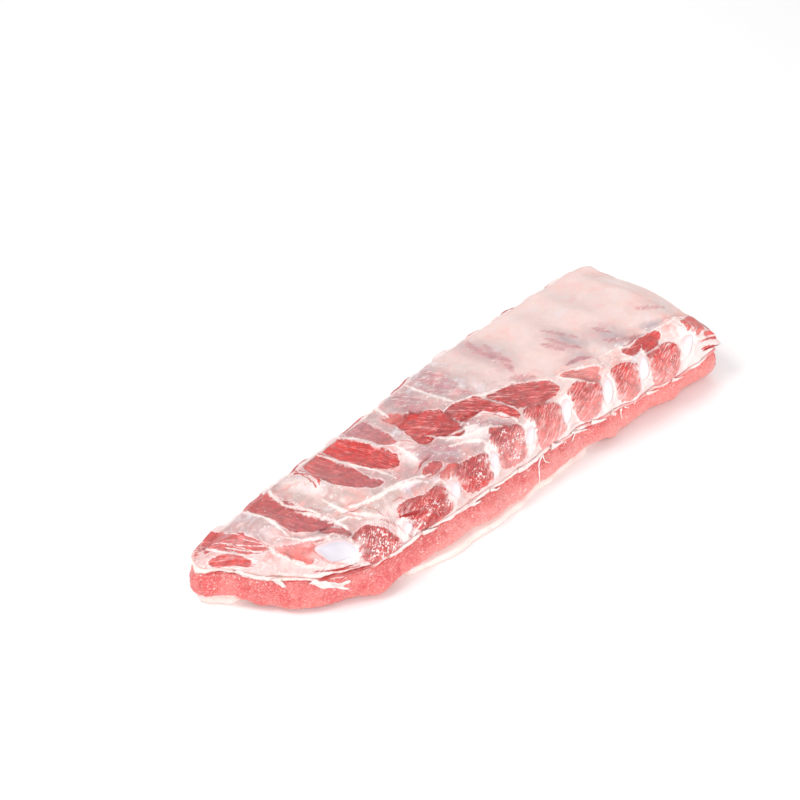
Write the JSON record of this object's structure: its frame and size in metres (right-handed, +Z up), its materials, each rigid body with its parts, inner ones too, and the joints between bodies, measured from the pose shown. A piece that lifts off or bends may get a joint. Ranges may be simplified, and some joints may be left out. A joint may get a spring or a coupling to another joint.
{
  "type": "raw rack of ribs",
  "caption": "Raw rack of ribs lying meat side down, with cut rib bones in a membrane-covered layer of meat over a white seam, a slab of meat and outer fat.",
  "frame": {"origin": "centre of the bounding box in plan, on the flat bottom that the rack rests on", "axes": "+X along the rack from its tapered near end to its square far end, +Y along the ribs from the cut face to the back edge, +Z up towards the membrane side"},
  "size_m": [0.379, 0.1218, 0.0477],
  "materials": {
    "outer_fat": "pale peach fat, satin",
    "meat_slab": "raw pink meat, fine grained and wet",
    "seam_fat": "white fat and tissue, satin",
    "rib_meat": "raw meat under a pale pink membrane, wet",
    "bone": "bluish white cut bone and gristle, satin"
  },
  "bodies": {
    "root": {"outer_fat": "outer_fat", "meat_slab": "meat_slab", "seam_fat": "seam_fat", "rib_meat": "rib_meat", "rib_1": "bone", "rib_2": "bone", "rib_3": "bone", "rib_4": "bone", "rib_5": "bone", "rib_6": "bone", "rib_7": "bone", "rib_8": "bone", "rib_9": "bone"}
  },
  "joints": []
}
